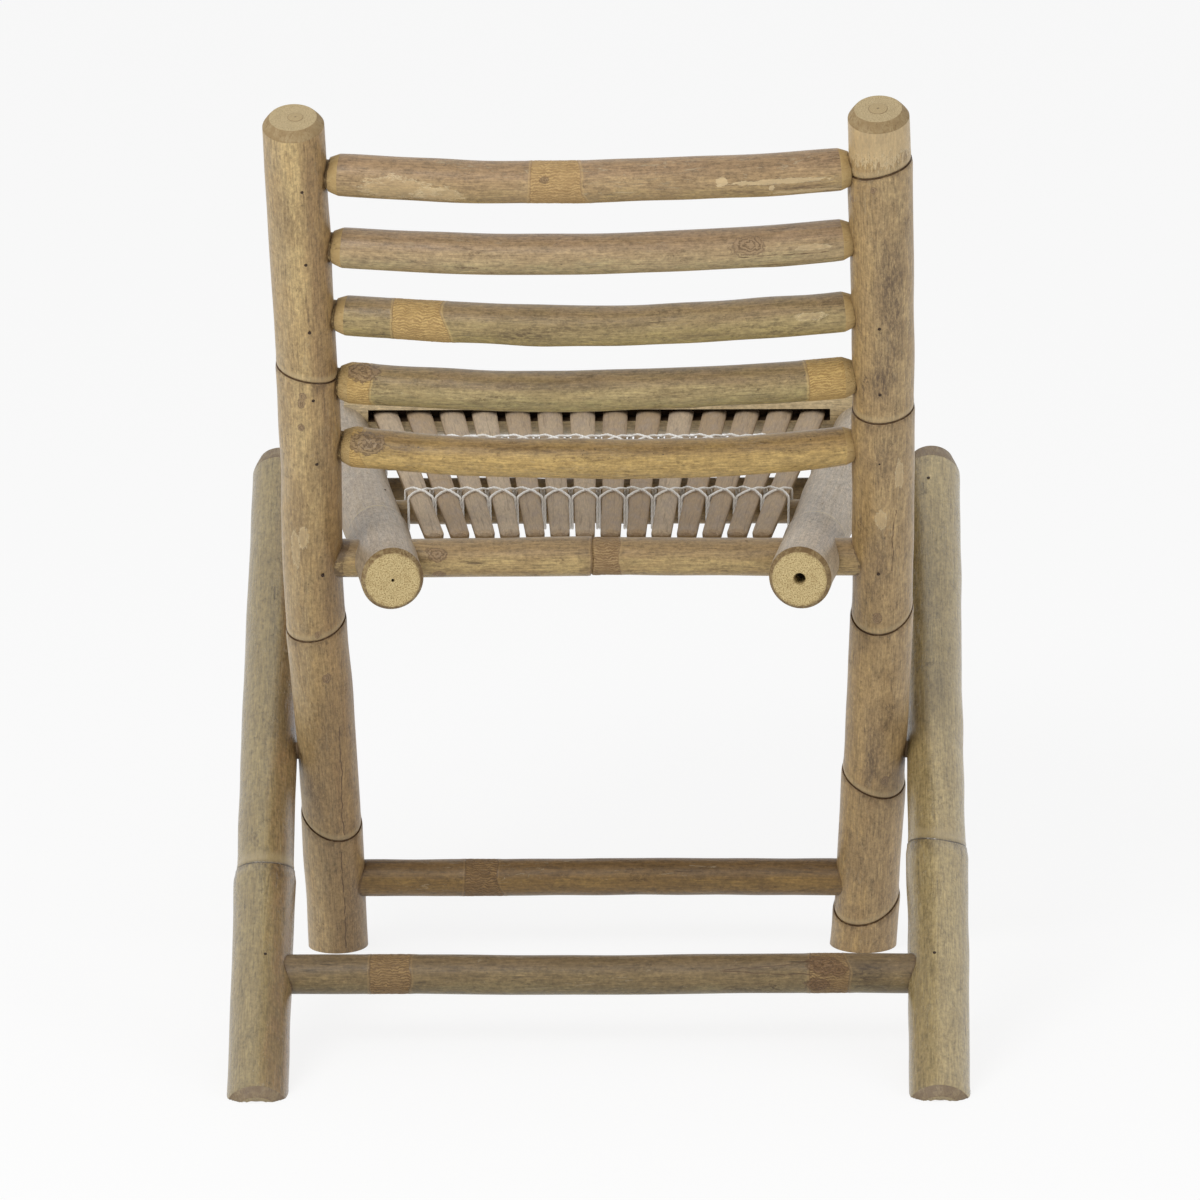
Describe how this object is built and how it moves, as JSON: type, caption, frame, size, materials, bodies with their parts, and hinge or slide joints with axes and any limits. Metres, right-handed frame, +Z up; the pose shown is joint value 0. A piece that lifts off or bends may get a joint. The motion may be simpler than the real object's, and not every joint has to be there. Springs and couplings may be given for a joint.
{
  "type": "folding recliner",
  "caption": "Folding low recliner of solid bamboo poles with a bowed slat back, a seat of laced split slats and crossed legs.",
  "frame": {"origin": "on the floor, under the middle of the open chair's bounding box", "axes": "+Z up, +Y the way the chair faces, +X across, to the right of someone looking along +Y"},
  "size_m": [0.6093, 0.7674, 0.775],
  "materials": {
    "post_bamboo": "dry bamboo skin, warm tan, satin",
    "green_bamboo": "bamboo skin, olive grey, satin",
    "tan_bamboo": "bamboo skin, tan grey, satin",
    "ochre_bamboo": "bamboo skin, yellow ochre, satin",
    "grey_bamboo": "weathered bamboo, grey, matte",
    "split_bamboo": "split bamboo strips, matte",
    "cord": "white twisted cord",
    "nail_steel": "dull wire nails"
  },
  "bodies": {
    "back_frame": {"post_left": "post_bamboo", "post_right": "post_bamboo", "back_slat_1": "ochre_bamboo", "back_slat_2": "green_bamboo", "back_slat_3": "green_bamboo", "back_slat_4": "tan_bamboo", "back_slat_5": "tan_bamboo", "seat_rail": "tan_bamboo", "back_stretcher": "tan_bamboo", "post_plugs": "post_bamboo", "back_frame_nails": "nail_steel"},
    "leg_frame": {"leg_left": "green_bamboo", "leg_right": "green_bamboo", "leg_bar": "tan_bamboo", "leg_stretcher": "tan_bamboo", "pivot_pins": "post_bamboo", "leg_frame_nails": "nail_steel"},
    "seat_frame": {"seat_pole_left": "grey_bamboo", "seat_pole_right": "grey_bamboo", "seat_front_bar": "grey_bamboo", "rear_lacing_rod": "grey_bamboo", "front_lacing_rod": "grey_bamboo", "seat_slat_01": "split_bamboo", "seat_slat_02": "split_bamboo", "seat_slat_03": "split_bamboo", "seat_slat_04": "split_bamboo", "seat_slat_05": "split_bamboo", "seat_slat_06": "split_bamboo", "seat_slat_07": "split_bamboo", "seat_slat_08": "split_bamboo", "seat_slat_09": "split_bamboo", "seat_slat_10": "split_bamboo", "seat_slat_11": "split_bamboo", "seat_slat_12": "split_bamboo", "seat_slat_13": "split_bamboo", "seat_slat_14": "split_bamboo", "rear_lacing": "cord", "front_lacing": "cord", "seat_frame_nails": "nail_steel"}
  },
  "joints": [
    {"name": "leg_fold", "type": "hinge", "parent": "back_frame", "child": "leg_frame", "pos_m": [0, -0.02197, 0.19175], "axis": [1, 0, 0], "range_deg": [0, 65]},
    {"name": "seat_hinge", "type": "hinge", "parent": "back_frame", "child": "seat_frame", "pos_m": [0, -0.10336, 0.37455], "axis": [1, 0, 0], "range_deg": [0, 90]}
  ],
  "couplings": [
    {"joint": "seat_hinge", "follows": "leg_fold", "ratio": 1.38}
  ]
}
